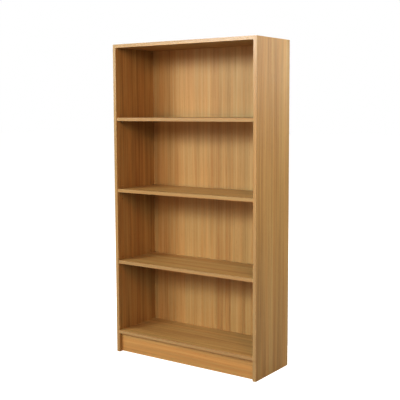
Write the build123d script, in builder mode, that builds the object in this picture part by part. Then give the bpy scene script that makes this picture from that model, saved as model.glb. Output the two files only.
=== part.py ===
from build123d import *
import os

# Bookcase with three adjustable shelves, flat-pack construction, in millimetres.
# +Z is up and the open front faces -Y. The origin is on the floor, in the middle of the footprint.
# The two side panels run the full height. The top panel, bottom panel and plinth stand between
# them on cam locks and dowels, the two-leaf back is nailed on behind, and each shelf rests on four
# pegs in 5 mm holes.

os.makedirs("parts", exist_ok=True)

# ---- Driving dimensions ----

WIDTH = 800.0
HEIGHT = 1500.0
DEPTH = 290.0
BOARD = 16.0  # foil-faced chipboard, every board
EDGING = 0.5
HARDBOARD = 3.0

PLINTH_TOP = 93.0
PLINTH_RECESS = 18.0
PLINTH_FLOOR_GAP = 2.0

SHELF_TOPS = {"lower": 458.0, "middle": 809.0, "upper": 1153.0}
SHELF_END_GAP = 1.0
SHELF_SETBACK = 2.0
SHELF_REAR_GAP = 3.0

# Shelf pegs: a 5 mm shank in the side panel, and a thicker body with a flat for the shelf.
PEG_RADIUS = 2.5
PEG_HOLE_RADIUS = 2.55
PEG_HOLE_DEPTH = 10.0
PEG_SHANK = 9.0
PEG_BODY_RADIUS = 4.0
PEG_BODY = 9.0
PEG_FLAT = 2.6  # height of the flat above the peg's axis
PEG_SHELF_GAP = 0.1
PEG_CHAMFER = 0.5
PEG_INSET = 37.0  # from the front or rear edge of the side board to the hole centres
HOLE_PITCH = 32.0

# Cam lock joints, measured along the bolt from the side panel's inner face.
BOLT_HOLE_RADIUS = 2.5
BOLT_HOLE_DEPTH = 11.5
BOLT_BORE_RADIUS = 4.0
BOLT_BORE_DEPTH = 27.0
THREAD = (-11.0, 0.0, 2.45)
COLLAR = (0.0, 1.0, 3.9)
SHANK = (1.0, 19.0, 3.0)
NECK = (19.0, 22.0, 2.0)
HEAD = (22.0, 26.0, 3.5)
CAM_DISTANCE = 24.0
CAM_RADIUS = 7.45
CAM_LENGTH = 12.3
CAM_POCKET_RADIUS = 7.5
CAM_POCKET_DEPTH = 12.5
CAM_SINK = 0.1  # the cam's face lies this far below the board's face
CAM_JAW = 7.6  # width of the opening that takes the bolt's head
DRIVE_SLOT = (8.0, 1.4, 1.6)  # length, width and depth of each arm of the cross slot

# Wooden dowels.
DOWEL_RADIUS = 3.95
DOWEL_HOLE_RADIUS = 4.0
DOWEL_IN_SIDE = 11.0
DOWEL_IN_PANEL = 19.0
DOWEL_CHAMFER = 0.8

# Spare depth of a dowel or pin hole past the end of what goes in it.
HOLE_END_ROOM = 0.5

# Fastener places: across the depth of the top and bottom panels, and up the plinth.
CAM_YS = (-90.0, 90.0)
DOWEL_YS = (-45.0, 45.0)
PLINTH_CAM_Z = 60.0
PLINTH_DOWEL_Z = 26.0

# Plastic caps that hide the cams under the top panel.
CAP_RADIUS = 8.5
CAP_THICKNESS = 1.2
CAP_CHAMFER = 0.4
CAP_SPIGOT_RADIUS = 0.65
CAP_SPIGOT = 1.3

# Back panel and its panel pins.
BACK_INSET = 1.0
BACK_JOIN_GAP = 0.4
TAPE_WIDTH = 30.0
TAPE = 0.2
NAIL_HEAD = 0.6
NAIL_HEAD_RADIUS = 1.6
NAIL_RADIUS = 0.75
NAIL_LENGTH = 20.0
NAIL_HOLE_RADIUS = 0.8
SIDE_NAILS = 9
SIDE_NAIL_END = 40.0
ROW_NAIL_XS = (-300.0, -160.0, -22.0, 22.0, 160.0, 300.0)

# Steel angle brackets that tie the top panel to a wall.
BRACKET_X = 250.0
BRACKET_WIDTH = 20.0
BRACKET_STEEL = 2.0
BRACKET_FOOT = 28.0
BRACKET_RISE = 20.0
BRACKET_BEND = 2.5
BRACKET_CORNER = 3.0
WALL_HOLE_RADIUS = 2.5
WALL_HOLE_RISE = 11.0
SCREW_HOLE_RADIUS = 1.9
SCREW_YS = (123.0, 135.0)
SCREW_HEAD_RADIUS = 3.4
SCREW_HEAD = 2.2
SCREW_RADIUS = 1.7
SCREW_LENGTH = 14.0
SCREW_PILOT_RADIUS = 1.75
SCREW_PILOT_DEPTH = 13.0
SCREW_SLOT = (5.0, 0.9, 1.0)

# ---- Levels and planes worked out from them ----

FRONT = -DEPTH / 2
REAR = DEPTH / 2
BACK_REAR = REAR - NAIL_HEAD
BOARD_REAR = BACK_REAR - HARDBOARD
BOARD_FRONT = FRONT + EDGING
INNER_X = WIDTH / 2 - BOARD
TOP_Z = HEIGHT - BOARD
BOTTOM_Z = PLINTH_TOP
PLINTH_REAR = FRONT + PLINTH_RECESS + BOARD

SHELF_HALF = INNER_X - SHELF_END_GAP
SHELF_FRONT = FRONT + SHELF_SETBACK
SHELF_REAR = BOARD_REAR - SHELF_REAR_GAP

PEG_YS = {"front": BOARD_FRONT + PEG_INSET, "rear": BOARD_REAR - PEG_INSET}
PEG_ZS = {level: top - BOARD - PEG_SHELF_GAP - PEG_FLAT for level, top in SHELF_TOPS.items()}
SIDES = {"left": -1, "right": 1}
SCREW_SPOTS = [(side * BRACKET_X, y) for side in SIDES.values() for y in SCREW_YS]

OUTWARD = (Align.CENTER, Align.CENTER, Align.MIN)
INWARD = (Align.CENTER, Align.CENTER, Align.MAX)


def end_plane(side, y, z, opening):
    """Plane on the inner face of a side panel, at a fastener's axis.

    Its Z axis points into the bookcase, along the fastener, and its X axis points to the face of
    the joined board that a cam lock is let into."""
    return Plane(origin=(side * INNER_X, y, z), x_dir=opening, z_dir=(-side, 0, 0))


def reversed_plane(spot):
    """The same place, seen from the joined board's end."""
    return Plane(origin=spot.origin, x_dir=spot.x_dir, z_dir=-spot.z_dir)


def cam_plane(spot):
    """Plane on the board's face over a cam lock, with X pointing to the board's end."""
    centre = spot.origin + spot.z_dir * CAM_DISTANCE + spot.x_dir * (BOARD / 2)
    return Plane(origin=centre, x_dir=-spot.z_dir, z_dir=spot.x_dir)


def level_spots(ys, z):
    """Fastener planes at both ends of a level board whose cams open downwards."""
    return [end_plane(side, y, z, (0, 0, -1)) for side in SIDES.values() for y in ys]


def plinth_spots(z):
    """Fastener planes at both ends of the plinth, whose cams open to the rear."""
    y = PLINTH_REAR - BOARD / 2
    return [end_plane(side, y, z, (0, 1, 0)) for side in SIDES.values()]


CAM_SPOTS = {
    "top": level_spots(CAM_YS, TOP_Z + BOARD / 2),
    "bottom": level_spots(CAM_YS, BOTTOM_Z + BOARD / 2),
    "plinth": plinth_spots(PLINTH_CAM_Z),
}
DOWEL_SPOTS = {
    "top": level_spots(DOWEL_YS, TOP_Z + BOARD / 2),
    "bottom": level_spots(DOWEL_YS, BOTTOM_Z + BOARD / 2),
    "plinth": plinth_spots(PLINTH_DOWEL_Z),
}


def nail_plane(x, z):
    """Plane on the rear of the back panel, with Z pointing out of it."""
    return Plane(origin=(x, BACK_REAR, z), x_dir=(-1, 0, 0), z_dir=(0, 1, 0))


def side_nails(side):
    """Pins into the rear edge of one side panel."""
    low = BOTTOM_Z + SIDE_NAIL_END
    step = (HEIGHT - SIDE_NAIL_END - low) / (SIDE_NAILS - 1)
    x = side * (INNER_X + BOARD / 2)
    return [nail_plane(x, low + step * i) for i in range(SIDE_NAILS)]


def row_nails(z):
    """Pins into the rear edge of the top or bottom panel."""
    return [nail_plane(x, z + BOARD / 2) for x in ROW_NAIL_XS]


def save(part, name):
    """Label a finished piece and write it under its own name."""
    part.label = name
    export_step(part, f"parts/{name}.step")


def box_between(low, high):
    """Add a box between two opposite corners to the part being built."""
    size = [b - a for a, b in zip(low, high)]
    with Locations(low):
        Box(*size, align=(Align.MIN, Align.MIN, Align.MIN))


def nail_holes(spots):
    """Cut a pilot hole for each pin from the rear."""
    with Locations(*spots):
        Hole(NAIL_HOLE_RADIUS, depth=NAIL_LENGTH + HOLE_END_ROOM)


def board_end_holes(joint):
    """Cut the bolt bores, cam pockets and dowel holes into a board between the sides."""
    with Locations(*[reversed_plane(spot) for spot in CAM_SPOTS[joint]]):
        Hole(BOLT_BORE_RADIUS, depth=BOLT_BORE_DEPTH)
    with Locations(*[cam_plane(spot) for spot in CAM_SPOTS[joint]]):
        Hole(CAM_POCKET_RADIUS, depth=CAM_POCKET_DEPTH)
    with Locations(*[reversed_plane(spot) for spot in DOWEL_SPOTS[joint]]):
        Hole(DOWEL_HOLE_RADIUS, depth=DOWEL_IN_PANEL + HOLE_END_ROOM)


def own_spots(spots, side):
    """The fastener planes that lie on one side panel."""
    return [spot for joint in spots.values() for spot in joint if spot.origin.X * side > 0]


# ---- Side panels ----


def side_panel(name, side):
    """Full-height side board, with holes for its pegs, cam bolts, dowels and pins."""
    outer, inner = sorted((side * WIDTH / 2, side * INNER_X))
    peg_spots = [
        end_plane(side, y, z + row * HOLE_PITCH, (0, 0, 1))
        for y in PEG_YS.values()
        for z in PEG_ZS.values()
        for row in (-1, 0, 1)
    ]
    with BuildPart() as panel:
        box_between((outer, BOARD_FRONT, 0), (inner, BOARD_REAR, HEIGHT - EDGING))
        with Locations(*peg_spots):
            Hole(PEG_HOLE_RADIUS, depth=PEG_HOLE_DEPTH)
        with Locations(*own_spots(CAM_SPOTS, side)):
            Hole(BOLT_HOLE_RADIUS, depth=BOLT_HOLE_DEPTH)
        with Locations(*own_spots(DOWEL_SPOTS, side)):
            Hole(DOWEL_HOLE_RADIUS, depth=DOWEL_IN_SIDE + HOLE_END_ROOM)
        nail_holes(side_nails(side))
    save(panel.part, f"{name}_side_panel")


for side_name, side_sign in SIDES.items():
    side_panel(side_name, side_sign)


# ---- Top panel, bottom panel and plinth ----

with BuildPart() as top_panel:
    box_between((-INNER_X, BOARD_FRONT, TOP_Z), (INNER_X, BOARD_REAR, HEIGHT))
    board_end_holes("top")
    nail_holes(row_nails(TOP_Z))
    with Locations(Plane.XY.offset(HEIGHT)):
        with Locations(*SCREW_SPOTS):
            Hole(SCREW_PILOT_RADIUS, depth=SCREW_PILOT_DEPTH)
save(top_panel.part, "top_panel")

with BuildPart() as bottom_panel:
    box_between((-INNER_X, BOARD_FRONT, BOTTOM_Z), (INNER_X, BOARD_REAR, BOTTOM_Z + BOARD))
    board_end_holes("bottom")
    nail_holes(row_nails(BOTTOM_Z))
save(bottom_panel.part, "bottom_panel")

with BuildPart() as plinth:
    box_between(
        (-INNER_X, PLINTH_REAR - BOARD, PLINTH_FLOOR_GAP), (INNER_X, PLINTH_REAR, PLINTH_TOP)
    )
    board_end_holes("plinth")
save(plinth.part, "plinth")


# ---- Two-leaf back panel, the tape over its join, and its pins ----


def back_leaf(name, side):
    """One hardboard leaf, from the centre join to just inside the outer face of a side panel."""
    low_x, high_x = sorted((side * BACK_JOIN_GAP / 2, side * (WIDTH / 2 - BACK_INSET)))
    with BuildPart() as leaf:
        box_between(
            (low_x, BOARD_REAR, BOTTOM_Z + BACK_INSET), (high_x, BACK_REAR, HEIGHT - BACK_INSET)
        )
        rows = row_nails(BOTTOM_Z) + row_nails(TOP_Z)
        nail_holes(side_nails(side) + [spot for spot in rows if spot.origin.X * side > 0])
    save(leaf.part, f"back_panel_{name}")


for side_name, side_sign in SIDES.items():
    back_leaf(side_name, side_sign)

with BuildPart() as back_join_tape:
    box_between(
        (-TAPE_WIDTH / 2, BACK_REAR, BOTTOM_Z + BACK_INSET),
        (TAPE_WIDTH / 2, BACK_REAR + TAPE, HEIGHT - BACK_INSET),
    )
save(back_join_tape.part, "back_join_tape")

with BuildPart() as back_nails:
    all_nails = side_nails(-1) + side_nails(1) + row_nails(BOTTOM_Z) + row_nails(TOP_Z)
    with Locations(*all_nails):
        Cylinder(NAIL_HEAD_RADIUS, NAIL_HEAD, align=OUTWARD)
        Cylinder(NAIL_RADIUS, NAIL_LENGTH, align=INWARD)
save(back_nails.part, "back_nails")


# ---- Shelves ----


def shelf(level):
    """Loose shelf board and the edging on its front."""
    top = SHELF_TOPS[level]
    with BuildPart() as board:
        box_between(
            (-SHELF_HALF, SHELF_FRONT + EDGING, top - BOARD), (SHELF_HALF, SHELF_REAR, top)
        )
    save(board.part, f"shelf_{level}")
    with BuildPart() as edging:
        box_between(
            (-SHELF_HALF, SHELF_FRONT, top - BOARD), (SHELF_HALF, SHELF_FRONT + EDGING, top)
        )
    save(edging.part, f"shelf_{level}_edging")


for shelf_level in SHELF_TOPS:
    shelf(shelf_level)


# ---- Shelf pegs ----


def shelf_peg(level, side_name, place):
    """Peg with a flat-topped body under the shelf and a shank in the side panel."""
    spot = Plane(
        origin=(SIDES[side_name] * INNER_X, PEG_YS[place], PEG_ZS[level]),
        x_dir=(0, -SIDES[side_name], 0),
        z_dir=(-SIDES[side_name], 0, 0),
    )
    with BuildPart() as peg:
        with BuildSketch(spot):
            Circle(PEG_BODY_RADIUS)
            with Locations((0, PEG_FLAT)):
                Rectangle(
                    2 * PEG_BODY_RADIUS,
                    PEG_BODY_RADIUS,
                    align=(Align.CENTER, Align.MIN),
                    mode=Mode.SUBTRACT,
                )
        extrude(amount=PEG_BODY)
        with BuildSketch(spot):
            Circle(PEG_RADIUS)
        extrude(amount=-PEG_SHANK)
        ends = peg.faces().sort_by(Axis.X)
        chamfer(ends[0].edges() + ends[-1].edges(), PEG_CHAMFER)
    save(peg.part, f"shelf_peg_{level}_{side_name}_{place}")


for peg_level in SHELF_TOPS:
    for peg_side in SIDES:
        for peg_place in PEG_YS:
            shelf_peg(peg_level, peg_side, peg_place)


# ---- Edging strips on the carcass ----


def side_edging(name, side):
    """Strips on the front and top edges of one side panel."""
    outer, inner = sorted((side * WIDTH / 2, side * INNER_X))
    with BuildPart() as front_strip:
        box_between((outer, FRONT, 0), (inner, BOARD_FRONT, HEIGHT))
    save(front_strip.part, f"{name}_side_front_edging")
    with BuildPart() as top_strip:
        box_between((outer, BOARD_FRONT, HEIGHT - EDGING), (inner, BOARD_REAR, HEIGHT))
    save(top_strip.part, f"{name}_side_top_edging")


def board_edging(name, z):
    """Strip on the front edge of the top or bottom panel."""
    with BuildPart() as strip:
        box_between((-INNER_X, FRONT, z), (INNER_X, BOARD_FRONT, z + BOARD))
    save(strip.part, f"{name}_panel_edging")


for side_name, side_sign in SIDES.items():
    side_edging(side_name, side_sign)
board_edging("top", TOP_Z)
board_edging("bottom", BOTTOM_Z)


# ---- Cam locks, cam bolts and dowels, one group for each joined board ----


def cam_locks(joint):
    """Round cams, each cut open for the bolt's head and slotted for a screwdriver."""
    length, width, depth = DRIVE_SLOT
    jaw_top = CAM_JAW / 2 - BOARD / 2
    with BuildPart() as cams:
        with Locations(*[cam_plane(spot) for spot in CAM_SPOTS[joint]]):
            with Locations((0, 0, -CAM_SINK)):
                Cylinder(CAM_RADIUS, CAM_LENGTH, align=INWARD)
            with Locations((-CAM_JAW / 2, 0, jaw_top)):
                Box(
                    CAM_JAW / 2 + 2 * CAM_RADIUS,
                    CAM_JAW,
                    BOARD,
                    align=(Align.MIN, Align.CENTER, Align.MAX),
                    mode=Mode.SUBTRACT,
                )
            with Locations((0, 0, -CAM_SINK)):
                Box(length, width, depth, align=INWARD, mode=Mode.SUBTRACT)
                Box(width, length, depth, align=INWARD, mode=Mode.SUBTRACT)
    save(cams.part, f"{joint}_cam_locks")


def cam_bolts(joint):
    """Turned bolts: thread in the side panel, then collar, shank, neck and head."""
    with BuildPart() as bolts:
        for start, end, radius in (THREAD, COLLAR, SHANK, NECK, HEAD):
            with Locations(*[spot.offset(start) for spot in CAM_SPOTS[joint]]):
                Cylinder(radius, end - start, align=OUTWARD)
    save(bolts.part, f"{joint}_cam_bolts")


def dowels(joint):
    """Beech dowels, chamfered at both ends."""
    with BuildPart() as pins:
        with Locations(*[spot.offset(-DOWEL_IN_SIDE) for spot in DOWEL_SPOTS[joint]]):
            Cylinder(DOWEL_RADIUS, DOWEL_IN_SIDE + DOWEL_IN_PANEL, align=OUTWARD)
        chamfer(pins.edges().filter_by(GeomType.CIRCLE), DOWEL_CHAMFER)
    save(pins.part, f"{joint}_dowels")


for joint_name in CAM_SPOTS:
    cam_locks(joint_name)
    cam_bolts(joint_name)
    dowels(joint_name)

with BuildPart() as cam_cover_caps:
    with Locations(*[cam_plane(spot) for spot in CAM_SPOTS["top"]]):
        Cylinder(CAP_RADIUS, CAP_THICKNESS, align=OUTWARD)
    chamfer(cam_cover_caps.faces().group_by(Axis.Z)[0].edges(), CAP_CHAMFER)
    with Locations(*[cam_plane(spot) for spot in CAM_SPOTS["top"]]):
        Cylinder(CAP_SPIGOT_RADIUS, CAP_SPIGOT, align=INWARD)
save(cam_cover_caps.part, "cam_cover_caps")


# ---- Wall brackets and their screws ----


def wall_bracket(name, side):
    """Bent steel angle: its foot is screwed to the top panel and its leg stands at the wall."""
    left = side * BRACKET_X - BRACKET_WIDTH / 2
    with BuildPart() as bracket:
        with BuildSketch(Plane.YZ.offset(left)):
            with BuildLine():
                Polyline(
                    (REAR - BRACKET_FOOT, HEIGHT),
                    (REAR, HEIGHT),
                    (REAR, HEIGHT + BRACKET_RISE),
                    (REAR - BRACKET_STEEL, HEIGHT + BRACKET_RISE),
                    (REAR - BRACKET_STEEL, HEIGHT + BRACKET_STEEL),
                    (REAR - BRACKET_FOOT, HEIGHT + BRACKET_STEEL),
                    close=True,
                )
            make_face()
        extrude(amount=BRACKET_WIDTH)
        bend = bracket.edges().filter_by(Axis.X).group_by(Axis.Z)[0].sort_by(Axis.Y)[-1]
        fillet(bend, BRACKET_BEND)
        toe = bracket.edges().filter_by(Axis.Z).group_by(Axis.Y)[0]
        tips = bracket.edges().filter_by(Axis.Y).group_by(Axis.Z)[-1]
        fillet(toe + tips, BRACKET_CORNER)
        with Locations(Plane.XY.offset(HEIGHT + BRACKET_STEEL)):
            with Locations(*[(side * BRACKET_X, y) for y in SCREW_YS]):
                Hole(SCREW_HOLE_RADIUS, depth=BRACKET_STEEL)
        wall_face = Plane(origin=(side * BRACKET_X, REAR, HEIGHT), x_dir=(-1, 0, 0), z_dir=(0, 1, 0))
        with Locations(wall_face):
            with Locations((0, WALL_HOLE_RISE)):
                Hole(WALL_HOLE_RADIUS, depth=BRACKET_STEEL)
    save(bracket.part, f"wall_bracket_{name}")


for side_name, side_sign in SIDES.items():
    wall_bracket(side_name, side_sign)

with BuildPart() as bracket_screws:
    slot_length, slot_width, slot_depth = SCREW_SLOT
    with Locations(Plane.XY.offset(HEIGHT + BRACKET_STEEL)):
        with Locations(*SCREW_SPOTS):
            Cylinder(SCREW_HEAD_RADIUS, SCREW_HEAD, align=OUTWARD)
            Cylinder(SCREW_RADIUS, SCREW_LENGTH, align=INWARD)
    fillet(bracket_screws.faces().group_by(Axis.Z)[-1].edges(), SCREW_HEAD / 2)
    with Locations(Plane.XY.offset(HEIGHT + BRACKET_STEEL + SCREW_HEAD)):
        with Locations(*SCREW_SPOTS):
            Box(slot_length, slot_width, slot_depth, align=INWARD, mode=Mode.SUBTRACT)
            Box(slot_width, slot_length, slot_depth, align=INWARD, mode=Mode.SUBTRACT)
save(bracket_screws.part, "bracket_screws")
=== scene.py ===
"""Looks of an oak-effect flat-pack bookcase: its materials, the floor, the light and the camera."""

import math

import bpy
from mathutils import Matrix, Vector

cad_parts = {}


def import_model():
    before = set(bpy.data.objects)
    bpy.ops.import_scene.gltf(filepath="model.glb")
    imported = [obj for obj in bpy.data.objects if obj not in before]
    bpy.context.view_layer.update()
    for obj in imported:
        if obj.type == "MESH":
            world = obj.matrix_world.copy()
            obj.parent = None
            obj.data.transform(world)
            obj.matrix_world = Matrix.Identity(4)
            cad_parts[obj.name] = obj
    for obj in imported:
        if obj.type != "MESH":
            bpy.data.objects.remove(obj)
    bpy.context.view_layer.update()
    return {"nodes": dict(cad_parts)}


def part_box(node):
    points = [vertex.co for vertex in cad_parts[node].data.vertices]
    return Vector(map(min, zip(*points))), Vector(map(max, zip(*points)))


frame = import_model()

NODES = frame["nodes"]
MM = 0.001

# ---- View and light ----

CAMERA_PLACE = Vector((2.148, -3.044, 1.191))
CAMERA_TURN = 35.16  # degrees to the left of straight at the back
CAMERA_TILT = -5.66
CAMERA_ROLL = -0.25
CAMERA_LENS = 71.4
CAMERA_SHIFT = -0.03

FLOOR_HALF = 30.0
FLOOR_GLOW = 1.0  # seen by the camera only, so that the floor is as white as the surroundings
BACKDROP_WHITE = (1.0, 1.0, 1.0, 1.0)
AMBIENT_COLOUR = (0.090, 0.032, 0.010, 1.0)  # the warm light that the surroundings give
GAMMA = 0.78

# Softboxes stand round the bookcase and face its middle: degrees round from the front towards the
# right, degrees up, distance, width and height in metres, power in watts and colour.
AIM = Vector((0.0, 0.0, 0.8))
WHITE_LIGHT = (1.0, 1.0, 1.0)
COOL_LIGHT = (0.97, 1.04, 1.10)
WARM_LIGHT = (1.0, 0.55, 0.33)
SOFTBOXES = {
    "key_left": (-26.0, 20.0, 5.0, 1.6, 1.0, 118.0, COOL_LIGHT),
    "key_right": (14.0, 18.0, 5.0, 1.2, 1.0, 78.0, WHITE_LIGHT),
    "key_high": (0.0, 26.0, 5.0, 1.2, 0.8, 48.0, COOL_LIGHT),
    "front_right_fill": (52.0, 22.0, 3.6, 1.0, 1.0, 42.0, WARM_LIGHT),
    "low_fill": (-6.0, 0.0, 3.8, 1.2, 0.6, 40.0, WARM_LIGHT),
    "side_light": (118.0, 32.0, 3.2, 1.0, 1.2, 80.0, COOL_LIGHT),
    "side_veil": (148.0, 14.0, 3.4, 0.8, 0.8, 11.0, COOL_LIGHT),
    "edge_sheen": (-37.0, 9.0, 5.0, 1.6, 0.5, 16.0, WHITE_LIGHT),
    "overhead": (-39.0, 47.0, 4.6, 1.7, 1.7, 78.0, COOL_LIGHT),
    "left_light": (-105.0, 28.0, 3.4, 1.2, 1.2, 80.0, WHITE_LIGHT),
    "rear_fill": (-165.0, 48.0, 4.2, 3.0, 3.0, 120.0, WHITE_LIGHT),
}

# ---- Colours, linear ----

OAK_DARK = (0.262, 0.132, 0.040, 1.0)
OAK_MID = (0.425, 0.278, 0.106, 1.0)
OAK_LIGHT = (0.540, 0.392, 0.170, 1.0)
OAK_PORE = (0.170, 0.075, 0.022, 1.0)
REDDER = (1.030, 0.985, 0.950, 1.0)
YELLOWER = (0.970, 1.015, 1.040, 1.0)
OAK_WORN = (0.500, 0.330, 0.150, 1.0)
BACK_DARK = (0.245, 0.130, 0.041, 1.0)
BACK_MID = (0.370, 0.254, 0.103, 1.0)
BACK_LIGHT = (0.465, 0.348, 0.165, 1.0)
EDGE_DARK = (0.262, 0.176, 0.076, 1.0)
EDGE_MID = (0.332, 0.238, 0.112, 1.0)
EDGE_LIGHT = (0.398, 0.302, 0.152, 1.0)
CHIP_DARK = (0.200, 0.110, 0.050, 1.0)
CHIP_MID = (0.420, 0.270, 0.140, 1.0)
CHIP_LIGHT = (0.620, 0.460, 0.280, 1.0)
BACKING_DARK = (0.150, 0.082, 0.040, 1.0)
BACKING_LIGHT = (0.285, 0.172, 0.090, 1.0)
TAPE_DARK = (0.200, 0.115, 0.055, 1.0)
TAPE_LIGHT = (0.310, 0.190, 0.100, 1.0)
BEECH_DARK = (0.420, 0.240, 0.120, 1.0)
BEECH_LIGHT = (0.660, 0.440, 0.260, 1.0)
CAP_DARK = (0.330, 0.180, 0.080, 1.0)
CAP_LIGHT = (0.420, 0.240, 0.110, 1.0)
NICKEL = (0.640, 0.620, 0.580, 1.0)
NICKEL_WORN = (0.480, 0.460, 0.430, 1.0)
ZINC = (0.500, 0.510, 0.520, 1.0)
ZINC_DULL = (0.330, 0.335, 0.345, 1.0)
STEEL = (0.420, 0.420, 0.425, 1.0)
STEEL_DULL = (0.240, 0.240, 0.245, 1.0)
FLOOR_DARK = (0.220, 0.220, 0.220, 1.0)
FLOOR_LIGHT = (0.240, 0.240, 0.240, 1.0)

# ---- Scales and depths ----

FOIL_SATIN = 0.38  # roughness of the smoothest streaks of foil
EDGE_SATIN = 0.16
EDGE_CONTRAST = 0.8

# Layers of the oak print: repeats per metre along and across the grain, seed shift and noise detail.
STREAKS = {
    "broad": (0.9, 34.0, 0.0, 3.0),
    "middle": (1.6, 105.0, 3.1, 3.0),
    "fine": (5.0, 380.0, 7.7, 3.0),
    "hair": (14.0, 1300.0, 17.9, 2.0),
    "dash": (42.0, 1500.0, 11.3, 1.0),
    "hue": (0.8, 62.0, 23.5, 2.0),
}
BROAD_SHARE = 0.70
TONE_SHARES = {"middle": 0.48, "fine": 0.42, "hair": 0.22}
GRAIN_SWAY = 22 * MM
SWAY_SCALES = (1.3, 9.0)  # repeats per metre along and across the grain
PORE_DASHES = (0.60, 0.72)  # range over which a dash turns into a pore
PORE_PLACES = (0.62, 0.36)  # pores fade in as the middle streaks get darker
PORE_STRENGTH = 0.55
HUE_RANGE = (0.36, 0.64)
PRINT_STOPS = (0.10, 0.50, 0.90)  # tones at which the dark, middle and light colours stand

# Joins between the printed leaves of a board.
JOIN_OUTER = 1.6 * MM
JOIN_INNER = 0.4 * MM
JOIN_DARKNESS = 0.05

# Marks of the other materials: repeats per metre along X, Y and Z.
CORE_FLAKES = (330.0,) * 3
FACE_FLAKES = (900.0,) * 3
RIM_NOISE = (60.0,) * 3
TAPE_CREASES = (300.0, 0.0, 14.0)
TAPE_FIBRES = (900.0, 0.0, 900.0)
BEECH_STREAKS = (60.0, 700.0, 700.0)
BEECH_FLECKS = (400.0, 1800.0, 1800.0)
METAL_STAINS = (90.0,) * 3
ZINC_SPANGLES = (260.0,) * 3
ZINC_ROLLING = (1500.0, 60.0, 60.0)
PLASTIC_TEXTURE = (2600.0,) * 3
PLASTIC_CLOUDS = (70.0,) * 3

# Chipboard: how far from the middle of its thickness the core ends and the finer layers begin.
CORE_HALF = 4.0 * MM
FACE_START = 5.5 * MM
CHIP_ROUGHNESS = 0.85

# Worn rims.
RIM_WIDTH = 0.9 * MM
RIM_RAGGED = 3.2 * MM
RIM_OFFSET = -0.7 * MM
RIM_STRENGTH = 0.6

# Depth of each material's bump.
FOIL_RELIEF = 0.16 * MM
EDGE_RELIEF = 0.10 * MM
TAPE_RELIEF = 0.08 * MM
BEECH_RELIEF = 0.10 * MM
ZINC_RELIEF = 0.04 * MM
PLASTIC_RELIEF = 0.03 * MM
FLOOR_RELIEF = 0.02 * MM

SCREEN_PITCH = 1.9 * MM
HARDBOARD_ROUGHNESS = 0.72


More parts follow.
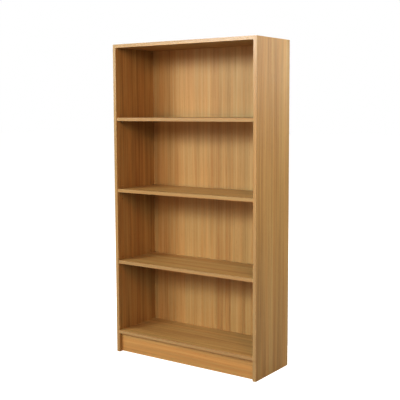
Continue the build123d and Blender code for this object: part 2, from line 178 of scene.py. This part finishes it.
class Shader:
    """One new material and its node tree, with short calls for the nodes it needs."""

    def __init__(self, name):
        self.material = bpy.data.materials.new(name)
        self.material.use_nodes = True
        self.tree = self.material.node_tree
        self.tree.nodes.clear()
        self.surface = self.add("ShaderNodeBsdfPrincipled")
        output = self.add("ShaderNodeOutputMaterial")
        self.tree.links.new(self.surface.outputs["BSDF"], output.inputs["Surface"])
        where = self.add("ShaderNodeTexCoord")
        place = self.add("ShaderNodeSeparateXYZ")
        facing = self.add("ShaderNodeSeparateXYZ")
        self.tree.links.new(where.outputs["Object"], place.inputs[0])
        self.tree.links.new(where.outputs["Normal"], facing.inputs[0])
        self.place = dict(zip("XYZ", place.outputs))
        self.facing = dict(zip("XYZ", facing.outputs))

    def add(self, kind, **settings):
        node = self.tree.nodes.new(kind)
        for key, value in settings.items():
            setattr(node, key, value)
        return node

    def feed(self, socket, value):
        """Put a number, a colour or another node's output into a socket."""
        if isinstance(value, bpy.types.NodeSocket):
            self.tree.links.new(value, socket)
        else:
            socket.default_value = value

    def math(self, operation, *values, clamp=False):
        node = self.add("ShaderNodeMath", operation=operation, use_clamp=clamp)
        for socket, value in zip(node.inputs, values):
            self.feed(socket, value)
        return node.outputs[0]

    def vector(self, x, y, z):
        node = self.add("ShaderNodeCombineXYZ")
        for socket, value in zip(node.inputs, (x, y, z)):
            self.feed(socket, value)
        return node.outputs[0]

    def scaled(self, value, scale, offset=0.0):
        return self.math("MULTIPLY_ADD", value, scale, offset)

    def spread(self, scales, shift=0.0):
        """The position, scaled to so many repeats per metre along X, Y and Z, and shifted."""
        return self.vector(*[self.scaled(p, scale, shift) for p, scale in zip(self.place.values(), scales)])

    def noise(self, vector, detail=2.0, roughness=0.5, scale=1.0):
        node = self.add("ShaderNodeTexNoise")
        self.feed(node.inputs["Vector"], vector)
        self.feed(node.inputs["Scale"], scale)
        self.feed(node.inputs["Detail"], detail)
        self.feed(node.inputs["Roughness"], roughness)
        return node.outputs["Fac"]

    def cells(self, vector):
        """Voronoi cells: the distance to the nearest point, and a random colour for each cell."""
        node = self.add("ShaderNodeTexVoronoi")
        self.feed(node.inputs["Vector"], vector)
        self.feed(node.inputs["Scale"], 1.0)
        return node.outputs["Distance"], node.outputs["Color"]

    def mean(self, colour):
        """The mean of a colour's three channels, as a number."""
        node = self.add("ShaderNodeSeparateColor")
        self.feed(node.inputs[0], colour)
        red, green, blue = node.outputs[:3]
        return self.math("DIVIDE", self.math("ADD", self.math("ADD", red, green), blue), 3.0)

    def ramp(self, factor, stops, interpolation="LINEAR"):
        """Colour ramp from a list of (position, colour)."""
        node = self.add("ShaderNodeValToRGB")
        node.color_ramp.interpolation = interpolation
        elements = node.color_ramp.elements
        while len(elements) < len(stops):
            elements.new(0.5)
        for element, (position, colour) in zip(elements, stops):
            element.position = position
            element.color = colour
        self.feed(node.inputs["Fac"], factor)
        return node.outputs["Color"]

    def step(self, value, low, high):
        """Smooth step from 0 at low to 1 at high."""
        node = self.add("ShaderNodeMapRange", interpolation_type="SMOOTHSTEP")
        self.feed(node.inputs["Value"], value)
        self.feed(node.inputs["From Min"], low)
        self.feed(node.inputs["From Max"], high)
        return node.outputs[0]

    def mix(self, factor, first, second, blend="MIX"):
        node = self.add("ShaderNodeMix", data_type="RGBA", blend_type=blend)
        self.feed(node.inputs[0], factor)
        self.feed(node.inputs[6], first)
        self.feed(node.inputs[7], second)
        return node.outputs[2]

    def blend(self, factor, first, second):
        """Mix of two numbers."""
        node = self.add("ShaderNodeMix", data_type="FLOAT")
        self.feed(node.inputs[0], factor)
        self.feed(node.inputs[2], first)
        self.feed(node.inputs[3], second)
        return node.outputs[0]

    def finish(self, colour, roughness, height, depth, **fixed):
        """Wire colour, roughness and a height in metres' worth of bump, and set fixed sockets."""
        self.feed(self.surface.inputs["Base Color"], colour)
        self.feed(self.surface.inputs["Roughness"], roughness)
        bump = self.add("ShaderNodeBump")
        bump.inputs["Strength"].default_value = 1.0
        bump.inputs["Distance"].default_value = depth
        self.feed(bump.inputs["Height"], height)
        self.feed(self.surface.inputs["Normal"], bump.outputs[0])
        for name, value in fixed.items():
            self.surface.inputs[name.replace("_", " ")].default_value = value
        return self.material


# ---- Wood surfaces ----


def oak_print(s, along, across, seed, colours, strips=None, contrast=1.0, satin=FOIL_SATIN):
    """Oak-effect print: streaks in four widths, two hues and short dark pores, all along the grain.

    colours are its dark, middle and light tones. Returns colour, roughness and height."""
    sway_along, sway_across = SWAY_SCALES
    sway = s.noise(s.vector(s.scaled(along, sway_along, seed), s.scaled(across, sway_across), 0.0), 2.0)
    bent = s.math("ADD", across, s.scaled(sway, GRAIN_SWAY, -GRAIN_SWAY / 2))

    def streaks(along_scale, across_scale, shift, detail):
        place = s.vector(s.scaled(along, along_scale, seed), s.scaled(bent, across_scale), seed + shift)
        return s.noise(place, detail, 0.55)

    layers = {name: streaks(*settings) for name, settings in STREAKS.items()}
    pore = s.math("MULTIPLY", s.step(layers["dash"], *PORE_DASHES), s.step(layers["middle"], *PORE_PLACES))

    tone = s.scaled(layers["broad"], BROAD_SHARE * contrast, 0.5 - BROAD_SHARE / 2 * contrast)
    for name, share in TONE_SHARES.items():
        tone = s.math("ADD", tone, s.scaled(layers[name], share * contrast, -share / 2 * contrast))
    if strips is not None:
        tone = s.math("ADD", tone, strips)
    tint = s.mix(s.step(layers["hue"], *HUE_RANGE), REDDER, YELLOWER)
    colour = s.mix(1.0, s.ramp(tone, list(zip(PRINT_STOPS, colours))), tint, "MULTIPLY")
    colour = s.mix(s.math("MULTIPLY", pore, PORE_STRENGTH), colour, OAK_PORE)
    fine = layers["fine"]
    roughness = s.math("ADD", s.scaled(fine, 0.16, satin), s.math("MULTIPLY", pore, 0.18))
    height = s.math("SUBTRACT", s.scaled(fine, 0.5), s.math("MULTIPLY", pore, 0.9))
    return colour, roughness, height


def tone_strips(s, across, low, high, shifts):
    """Bands of slightly different tone side by side, as printed veneer leaves, with fine dark joins; on the
    top panel the shifts also carry painted shade.

    shifts is a list of (place where the band starts, in metres from low, tone shift)."""
    width = high - low
    share = s.scaled(across, 1.0 / width, -low / width)
    stops = [(start / width, (0.5 + shift,) * 3 + (1.0,)) for start, shift in shifts]
    leaves = s.ramp(share, stops, "CONSTANT")
    value = s.scaled(s.mean(leaves), 1.0, -0.5)
    for start, _ in shifts[1:]:
        gap = s.math("ABSOLUTE", s.math("SUBTRACT", across, low + start))
        join = s.math("MULTIPLY", s.step(gap, JOIN_OUTER, JOIN_INNER), JOIN_DARKNESS)
        value = s.math("SUBTRACT", value, join)
    return value


def chip_edge(s, seed, depth_axis, mid):
    """Raw edge of chipboard: flakes in a coarse core between finer outer layers."""
    core_gap, core_colour = s.cells(s.spread(CORE_FLAKES, seed))
    face_gap, face_colour = s.cells(s.spread(FACE_FLAKES, seed))
    off_middle = s.math("ABSOLUTE", s.math("SUBTRACT", s.place[depth_axis], mid))
    outer = s.step(off_middle, CORE_HALF, FACE_START)
    flake = s.blend(outer, s.mean(core_colour), s.mean(face_colour))
    gap = s.blend(outer, core_gap, face_gap)
    colour = s.ramp(flake, [(0.15, CHIP_DARK), (0.5, CHIP_MID), (0.85, CHIP_LIGHT)])
    height = s.scaled(gap, -1.2, 0.6)
    return colour, CHIP_ROUGHNESS, height


def rim_wear(s, box, axes, seed):
    """Wear that is strongest at a face's rim and gone a few millimetres inside it, broken up by noise."""
    low, high = box
    distances = []
    for axis in axes:
        index = "XYZ".index(axis)
        distances.append(s.math("SUBTRACT", s.place[axis], low[index]))
        distances.append(s.math("SUBTRACT", high[index], s.place[axis]))
    nearest = distances[0]
    for distance in distances[1:]:
        nearest = s.math("MINIMUM", nearest, distance)
    ragged = s.scaled(s.noise(s.spread(RIM_NOISE, seed), 4.0, 0.7), RIM_RAGGED, RIM_OFFSET)
    rim = s.step(s.math("SUBTRACT", nearest, ragged), RIM_WIDTH, 0.0)
    return s.math("MULTIPLY", rim, RIM_STRENGTH)


def board(name, grain, face, seed, contrast, shifts):
    """Chipboard with oak-effect foil on its two faces and raw edges behind the edging."""
    low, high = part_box(name)
    across = next(axis for axis in "XYZ" if axis not in (grain, face))
    side, depth = "XYZ".index(across), "XYZ".index(face)
    s = Shader(f"oak_foil_{name}")
    strips = tone_strips(s, s.place[across], low[side], high[side], shifts)
    colours = (OAK_DARK, OAK_MID, OAK_LIGHT)
    colour, roughness, height = oak_print(
        s, s.place[grain], s.place[across], seed, colours, strips, contrast
    )
    colour = s.mix(rim_wear(s, (low, high), (grain, across), seed), colour, OAK_WORN)
    chip_colour, chip_roughness, chip_height = chip_edge(s, seed, face, (low[depth] + high[depth]) / 2)
    foil = s.step(s.math("ABSOLUTE", s.facing[face]), 0.7, 0.8)
    return s.finish(
        s.mix(foil, chip_colour, colour),
        s.blend(foil, chip_roughness, roughness),
        s.blend(foil, chip_height, height),
        FOIL_RELIEF,
        Specular_IOR_Level=0.42,
    )


def edging(name, grain, seed):
    """Thin edging strip: paler print with its grain along the strip."""
    s = Shader(f"oak_edging_{name}")
    low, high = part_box(name)
    others = [axis for axis in "XYZ" if axis != grain]
    across = s.math("ADD", s.place[others[0]], s.place[others[1]])
    colours = (EDGE_DARK, EDGE_MID, EDGE_LIGHT)
    colour, roughness, height = oak_print(
        s, s.place[grain], across, seed, colours, None, EDGE_CONTRAST, EDGE_SATIN
    )
    colour = s.mix(rim_wear(s, (low, high), (grain,), seed), colour, OAK_WORN)
    return s.finish(colour, roughness, height, EDGE_RELIEF, Specular_IOR_Level=0.5)


def back_leaf(name, seed, shifts):
    """Hardboard leaf: printed front with upright grain, and a brown rear with a screen pattern."""
    low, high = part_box(name)
    s = Shader(f"hardboard_{name}")
    x, z = s.place["X"], s.place["Z"]
    strips = tone_strips(s, x, low[0], high[0], shifts)
    colours = (BACK_DARK, BACK_MID, BACK_LIGHT)
    colour, roughness, height = oak_print(s, z, x, seed, colours, strips)
    fibre = s.noise(s.vector(s.scaled(x, 130.0, seed), s.place["Y"], s.scaled(z, 170.0)), 5.0, 0.75)
    cloud = s.noise(s.vector(s.scaled(x, 5.0, seed), 0.0, s.scaled(z, 5.0)), 4.0, 0.6)
    waves = [s.math("SINE", s.scaled(p, 2 * math.pi / SCREEN_PITCH)) for p in (x, z)]
    screen = s.math("MULTIPLY", *waves)
    rear_tone = s.math("ADD", s.scaled(fibre, 0.8, -0.1), s.scaled(cloud, 0.5, -0.05))
    rear_colour = s.ramp(rear_tone, [(0.2, BACKING_DARK), (0.9, BACKING_LIGHT)])
    rear_height = s.math("ADD", s.scaled(screen, 0.35), s.scaled(fibre, 0.6))
    front = s.step(s.facing["Y"], -0.7, -0.8)
    return s.finish(
        s.mix(front, rear_colour, colour),
        s.blend(front, HARDBOARD_ROUGHNESS, roughness),
        s.blend(front, rear_height, height),
        FOIL_RELIEF,
        Specular_IOR_Level=0.40,
    )


def tape():
    """Brown paper tape with fine creases along its length."""
    s = Shader("paper_tape")
    crease = s.noise(s.spread(TAPE_CREASES), 4.0, 0.6)
    fibre = s.noise(s.spread(TAPE_FIBRES), 2.0)
    tone = s.math("ADD", s.scaled(crease, 0.7), s.scaled(fibre, 0.4, -0.05))
    colour = s.ramp(tone, [(0.25, TAPE_DARK), (0.8, TAPE_LIGHT)])
    return s.finish(colour, s.scaled(fibre, 0.2, 0.6), tone, TAPE_RELIEF, Specular_IOR_Level=0.35)


def beech():
    """Raw beech dowel: short flecks along X."""
    s = Shader("beech_dowel")
    streak = s.noise(s.spread(BEECH_STREAKS), 4.0, 0.6)
    fleck = s.step(s.noise(s.spread(BEECH_FLECKS)), 0.6, 0.7)
    colour = s.ramp(streak, [(0.3, BEECH_DARK), (0.7, BEECH_LIGHT)])
    colour = s.mix(s.math("MULTIPLY", fleck, 0.5), colour, BEECH_DARK)
    return s.finish(colour, s.scaled(streak, 0.2, 0.55), streak, BEECH_RELIEF)


# ---- Metal and plastic ----


def metal(name, bright, dull, roughness, grain, depth):
    """Metal with fine marks whose scales per metre along X, Y and Z are given by grain."""
    s = Shader(name)
    marks = s.noise(s.spread(grain), 4.0, 0.65)
    stain = s.noise(s.spread(METAL_STAINS), 4.0, 0.7)
    colour = s.mix(s.step(stain, 0.38, 0.66), bright, dull)
    shine = s.math("ADD", s.scaled(marks, 0.18, roughness - 0.09), s.scaled(stain, 0.14, -0.05))
    return s.finish(colour, shine, marks, depth, Metallic=1.0)


def spangled_zinc():
    """Galvanised sheet with faint crystal spangle."""
    s = Shader("galvanised_steel")
    gap, crystal = s.cells(s.spread(ZINC_SPANGLES))
    spangle = s.mean(crystal)
    rolled = s.noise(s.spread(ZINC_ROLLING), 3.0, 0.6)
    tone = s.math("ADD", s.scaled(spangle, 0.6, 0.1), s.scaled(rolled, 0.3))
    return s.finish(
        s.ramp(tone, [(0.3, ZINC_DULL), (0.75, ZINC)]),
        s.math("ADD", s.scaled(spangle, 0.14, 0.26), s.scaled(rolled, 0.12)),
        s.math("ADD", s.scaled(gap, 0.3), s.scaled(rolled, 0.4)),
        ZINC_RELIEF,
        Metallic=1.0,
    )


def cap_plastic():
    """Oak-coloured moulded plastic with a fine spark-eroded texture."""
    s = Shader("cap_plastic")
    texture = s.noise(s.spread(PLASTIC_TEXTURE), 2.0, 0.6)
    cloud = s.noise(s.spread(PLASTIC_CLOUDS), 3.0)
    tone = s.math("ADD", s.scaled(cloud, 0.7), s.scaled(texture, 0.3))
    colour = s.ramp(tone, [(0.3, CAP_DARK), (0.7, CAP_LIGHT)])
    return s.finish(colour, s.scaled(texture, 0.16, 0.38), texture, PLASTIC_RELIEF, Specular_IOR_Level=0.5)


def dress(node, material):
    """Give a CAD piece one material in place of its packed one."""
    slots = NODES[node].material_slots
    for slot in slots:
        slot.material = material
    if not slots:
        NODES[node].data.materials.append(material)


def bands(*pairs):
    """Tone bands across a board, given as (millimetres from its low side, tone shift)."""
    return [(start * MM, shift) for start, shift in pairs]


# Grain axis, axis through the thickness, seed, contrast and tone bands of each board. The top panel's bands
# are all shifted darker as painted shade, so that its shaded underside reads dark; its top face darkens
# with it.
BOARDS = {
    "left_side_panel": ("Z", "X", 1.7, 1.5, bands((0, 0.06), (78, 0.0), (171, 0.08), (236, 0.03))),
    "right_side_panel": ("Z", "X", 5.3, 1.0, bands((0, -0.04), (62, 0.03), (148, -0.03), (214, 0.02))),
    # Painted shade: every band of the top panel is darker, standing in for the shade under it; only the
    # steps between its bands are print.
    "top_panel": ("X", "Z", 9.1, 1.0, bands((0, -0.08), (118, -0.12), (205, -0.06))),
    "bottom_panel": ("X", "Z", 12.9, 1.6, bands((0, 0.05), (104, 0.0), (188, 0.05))),
    "plinth": ("X", "Y", 16.3, 0.6, bands((0, -0.10), (47, -0.08))),
    "shelf_lower": ("X", "Z", 21.7, 1.2, bands((0, -0.02), (96, 0.03), (201, -0.03))),
    "shelf_middle": ("X", "Z", 25.9, 1.2, bands((0, 0.03), (131, -0.02), (222, 0.02))),
    "shelf_upper": ("X", "Z", 31.1, 1.2, bands((0, -0.01), (88, 0.02), (176, -0.03))),
}
for board_name, settings in BOARDS.items():
    dress(board_name, board(board_name, *settings))

dress("back_panel_left", back_leaf("back_panel_left", 41.9, bands((0, -0.02), (158, 0.05))))
dress("back_panel_right", back_leaf("back_panel_right", 47.3, bands((0, -0.03), (112, 0.05), (240, -0.02))))
dress("back_join_tape", tape())

# Grain axis of each edging strip.
EDGINGS = {
    "left_side_front_edging": "Z",
    "right_side_front_edging": "Z",
    "left_side_top_edging": "Y",
    "right_side_top_edging": "Y",
    "top_panel_edging": "X",
    "bottom_panel_edging": "X",
    "shelf_lower_edging": "X",
    "shelf_middle_edging": "X",
    "shelf_upper_edging": "X",
}
for number, (edging_name, grain_axis) in enumerate(EDGINGS.items()):
    dress(edging_name, edging(edging_name, grain_axis, 53.0 + 4.7 * number))

# Bright and dull colour, roughness, marks per metre along X, Y and Z, and depth of bump of each metal.
METALS = {
    "turned_nickel": (NICKEL, NICKEL_WORN, 0.26, (5200.0, 240.0, 240.0), 0.02 * MM),
    "cast_zinc": (ZINC, ZINC_DULL, 0.42, (1300.0, 1300.0, 1300.0), 0.05 * MM),
    "plated_steel": (ZINC, ZINC_DULL, 0.30, (4200.0, 300.0, 300.0), 0.03 * MM),
    "drawn_steel": (STEEL, STEEL_DULL, 0.34, (900.0, 900.0, 900.0), 0.03 * MM),
}
metals = {metal_name: metal(metal_name, *settings) for metal_name, settings in METALS.items()}
galvanised = spangled_zinc()
raw_beech = beech()
moulded = cap_plastic()

for node_name in NODES:
    if node_name.startswith("shelf_peg"):
        dress(node_name, metals["turned_nickel"])
    elif node_name.endswith("cam_locks"):
        dress(node_name, metals["cast_zinc"])
    elif node_name.endswith("cam_bolts") or node_name == "bracket_screws":
        dress(node_name, metals["plated_steel"])
    elif node_name.endswith("dowels"):
        dress(node_name, raw_beech)
    elif node_name.startswith("wall_bracket"):
        dress(node_name, galvanised)
dress("back_nails", metals["drawn_steel"])
dress("cam_cover_caps", moulded)


# ---- Floor, light and camera ----


def floor():
    """Plain floor with a very faint variation, white to the camera."""
    mesh = bpy.data.meshes.new("floor")
    corners = [(-1, -1), (1, -1), (1, 1), (-1, 1)]
    mesh.from_pydata([(x * FLOOR_HALF, y * FLOOR_HALF, 0.0) for x, y in corners], [], [(0, 1, 2, 3)])
    piece = bpy.data.objects.new("floor", mesh)
    bpy.context.scene.collection.objects.link(piece)
    s = Shader("pale_floor")
    cloud = s.noise(s.vector(s.place["X"], s.place["Y"], 0.0), 3.0, 0.5, scale=1.5)
    colour = s.ramp(cloud, [(0.3, FLOOR_DARK), (0.7, FLOOR_LIGHT)])
    s.surface.inputs["Emission Color"].default_value = BACKDROP_WHITE
    rays = s.add("ShaderNodeLightPath")
    s.feed(s.surface.inputs["Emission Strength"], s.scaled(rays.outputs["Is Camera Ray"], FLOOR_GLOW))
    mesh.materials.append(s.finish(colour, s.scaled(cloud, 0.05, 0.85), cloud, FLOOR_RELIEF))


def world():
    """White surroundings to the camera, and a faint warm light from them to everything else."""
    scenery = bpy.data.worlds.new("studio")
    scenery.use_nodes = True
    tree = scenery.node_tree
    background = tree.nodes["Background"]
    rays = tree.nodes.new("ShaderNodeLightPath")
    colour = tree.nodes.new("ShaderNodeMix")
    colour.data_type = "RGBA"
    tree.links.new(rays.outputs["Is Camera Ray"], colour.inputs[0])
    colour.inputs[6].default_value = AMBIENT_COLOUR
    colour.inputs[7].default_value = BACKDROP_WHITE
    tree.links.new(colour.outputs[2], background.inputs["Color"])
    bpy.context.scene.world = scenery


def softbox(name, turn, lift, distance, width, height, power, colour):
    """Rectangular area light that faces the middle of the bookcase and stays out of sight."""
    lamp = bpy.data.lights.new(name, "AREA")
    lamp.shape = "RECTANGLE"
    lamp.size = width
    lamp.size_y = height
    lamp.energy = power
    lamp.color = colour
    piece = bpy.data.objects.new(name, lamp)
    bpy.context.scene.collection.objects.link(piece)
    round_to, up = math.radians(turn), math.radians(lift)
    away = Vector((math.cos(up) * math.sin(round_to), -math.cos(up) * math.cos(round_to), math.sin(up)))
    piece.location = AIM + away * distance
    piece.rotation_mode = "QUATERNION"
    piece.rotation_quaternion = (-away).to_track_quat("-Z", "Y")
    piece.visible_camera = False


def camera():
    """Camera at the height of the upper shelf, to the right of the bookcase."""
    data = bpy.data.cameras.new("camera")
    data.lens = CAMERA_LENS
    data.shift_y = CAMERA_SHIFT
    piece = bpy.data.objects.new("camera", data)
    bpy.context.scene.collection.objects.link(piece)
    turn = Matrix.Rotation(math.radians(CAMERA_TURN), 4, "Z")
    tilt = Matrix.Rotation(math.radians(90.0 + CAMERA_TILT), 4, "X")
    roll = Matrix.Rotation(math.radians(CAMERA_ROLL), 4, "Z")
    piece.matrix_world = Matrix.Translation(CAMERA_PLACE) @ turn @ tilt @ roll
    bpy.context.scene.camera = piece


floor()
world()
for box_name, box_settings in SOFTBOXES.items():
    softbox(box_name, *box_settings)
camera()
bpy.context.scene.view_settings.view_transform = "Standard"
bpy.context.scene.view_settings.gamma = GAMMA
